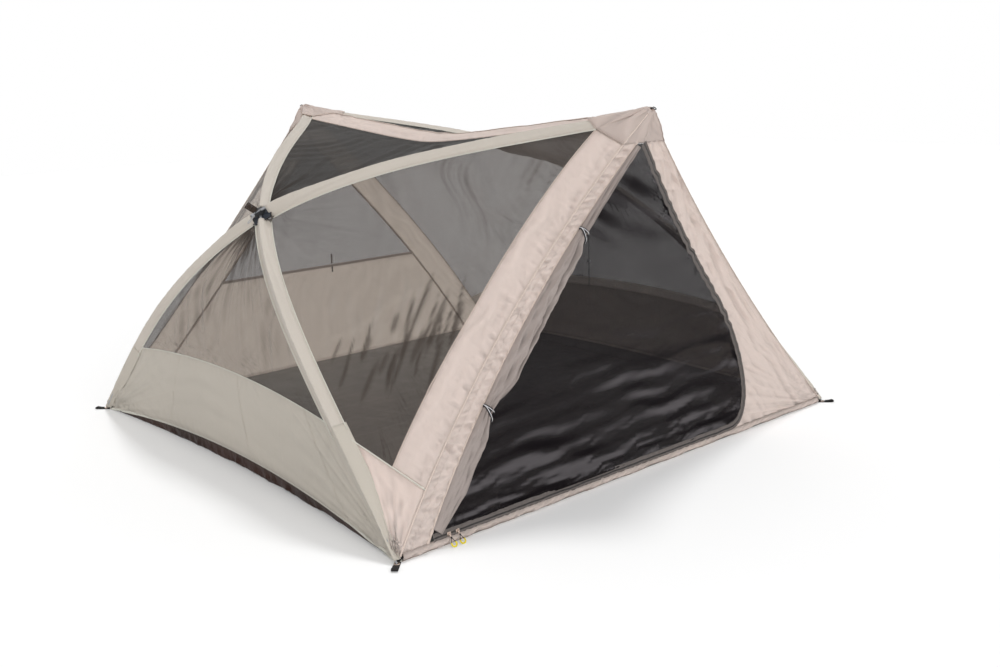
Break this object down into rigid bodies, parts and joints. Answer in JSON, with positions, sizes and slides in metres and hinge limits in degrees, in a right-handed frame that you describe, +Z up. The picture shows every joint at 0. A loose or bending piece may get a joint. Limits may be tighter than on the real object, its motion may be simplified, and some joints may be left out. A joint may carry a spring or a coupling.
{
  "type": "tent",
  "caption": "Pitched two-pole tent with mesh side walls, a low solid tub, a hinged mesh door with zip sliders and a rolled storm flap.",
  "frame": {"origin": "on the ground, in the middle of the floor", "axes": "+X to the right seen from the door, +Y from the door to the rear, +Z up"},
  "size_m": [2.1782, 2.1462, 1.2059],
  "materials": {
    "canopy_fabric": "soft woven polyester",
    "tub_fabric": "coated woven polyester",
    "insect_mesh": "fine knitted mesh that can be seen through",
    "floor_fabric": "coated groundsheet fabric",
    "sleeve_fabric": "woven polyester",
    "pole_tube": "dark anodised",
    "black_plastic": "moulded",
    "webbing": "woven tape and cord",
    "slider_metal": "die cast"
  },
  "bodies": {
    "tent": {"floor": "floor_fabric", "front_left_band": "canopy_fabric", "front_left_webbing": "webbing", "front_peak_cap": "canopy_fabric", "front_pole_elbow": "black_plastic", "front_pole_left_half": "pole_tube", "front_pole_left_lower_sleeve": "sleeve_fabric", "front_pole_left_upper_sleeve": "sleeve_fabric", "front_pole_right_half": "pole_tube", "front_pole_right_lower_sleeve": "sleeve_fabric", "front_pole_right_upper_sleeve": "sleeve_fabric", "front_right_panel": "canopy_fabric", "front_right_webbing": "webbing", "front_sill": "canopy_fabric", "left_crossing_clip": "black_plastic", "left_crossing_patch": "webbing", "left_front_mesh": "insect_mesh", "left_lower_mesh": "insect_mesh", "left_rear_mesh": "insect_mesh", "left_top_mesh": "insect_mesh", "left_tub_wall": "tub_fabric", "mesh_door_margin": "insect_mesh", "rear_left_band": "canopy_fabric", "rear_left_webbing": "webbing", "rear_lower_panel": "canopy_fabric", "rear_peak_cap": "canopy_fabric", "rear_pole_elbow": "black_plastic", "rear_pole_left_half": "pole_tube", "rear_pole_left_lower_sleeve": "sleeve_fabric", "rear_pole_left_upper_sleeve": "sleeve_fabric", "rear_pole_right_half": "pole_tube", "rear_pole_right_lower_sleeve": "sleeve_fabric", "rear_pole_right_upper_sleeve": "sleeve_fabric", "rear_right_band": "canopy_fabric", "rear_right_webbing": "webbing", "rear_window_mesh": "insect_mesh", "ridge_band": "canopy_fabric", "right_crossing_clip": "black_plastic", "right_crossing_patch": "webbing", "right_front_mesh": "insect_mesh", "right_lower_mesh": "insect_mesh", "right_rear_mesh": "insect_mesh", "right_top_mesh": "insect_mesh", "right_tub_wall": "tub_fabric", "storm_flap_roll": "canopy_fabric", "storm_flap_tie_lower": "webbing", "storm_flap_tie_upper": "webbing", "zip_frame_half": "webbing"},
    "door": {"mesh_door": "insect_mesh", "zip_door_half": "webbing"},
    "left_slider": {"zip_slider_left": "slider_metal"},
    "right_slider": {"zip_slider_right": "slider_metal"},
    "left_pull": {"zip_pull_left": "webbing"},
    "right_pull": {"zip_pull_right": "webbing"},
    "toggle": {"rear_toggle": "black_plastic"},
    "tail": {"tie_tail_cord": "webbing"},
    "bead": {"tie_tail_bead": "black_plastic"},
    "left_tab": {"left_fly_tab": "webbing"},
    "right_tab": {"right_fly_tab": "webbing"}
  },
  "joints": [
    {"name": "mesh_door_hinge", "type": "hinge", "parent": "tent", "child": "door", "pos_m": [-0.92286, -1.02451, 0.0375], "axis": [0.646, 0.0107, 0.7633], "range_deg": [0, 65]},
    {"name": "left_slider_travel", "type": "slide", "parent": "tent", "child": "left_slider", "axis": [1, 0, 0], "range_m": [-0.035, 0]},
    {"name": "right_slider_travel", "type": "slide", "parent": "tent", "child": "right_slider", "axis": [1, 0, 0], "range_m": [0, 1.25]},
    {"name": "left_pull_hinge", "type": "hinge", "parent": "left_slider", "child": "left_pull", "pos_m": [-0.85915, -1.03198, 0.03351], "axis": [-1, 0, 0], "range_deg": [0, 60]},
    {"name": "right_pull_hinge", "type": "hinge", "parent": "right_slider", "child": "right_pull", "pos_m": [-0.82715, -1.03198, 0.03351], "axis": [-1, 0, 0], "range_deg": [0, 60]},
    {"name": "rear_toggle_hinge", "type": "hinge", "parent": "tent", "child": "toggle", "pos_m": [0.045, 0.95523, 0.466], "axis": [-1, 0, 0], "range_deg": [0, 80]},
    {"name": "tie_tail_swing", "type": "hinge", "parent": "tent", "child": "tail", "pos_m": [-0.22666, -0.98461, 0.82163], "axis": [-1, 0, 0], "range_deg": [0, 60]},
    {"name": "bead_slide", "type": "slide", "parent": "tail", "child": "bead", "axis": [0, 0, 1], "range_m": [-0.06, 0.06]},
    {"name": "left_tab_hinge", "type": "hinge", "parent": "tent", "child": "left_tab", "pos_m": [-0.82562, 0.01478, 0.87972], "axis": [0.7077, 0, 0.7065], "range_deg": [-50, 18]},
    {"name": "right_tab_hinge", "type": "hinge", "parent": "tent", "child": "right_tab", "pos_m": [0.82562, 0.01478, 0.87972], "axis": [0.7077, 0, -0.7065], "range_deg": [-50, 18]}
  ]
}
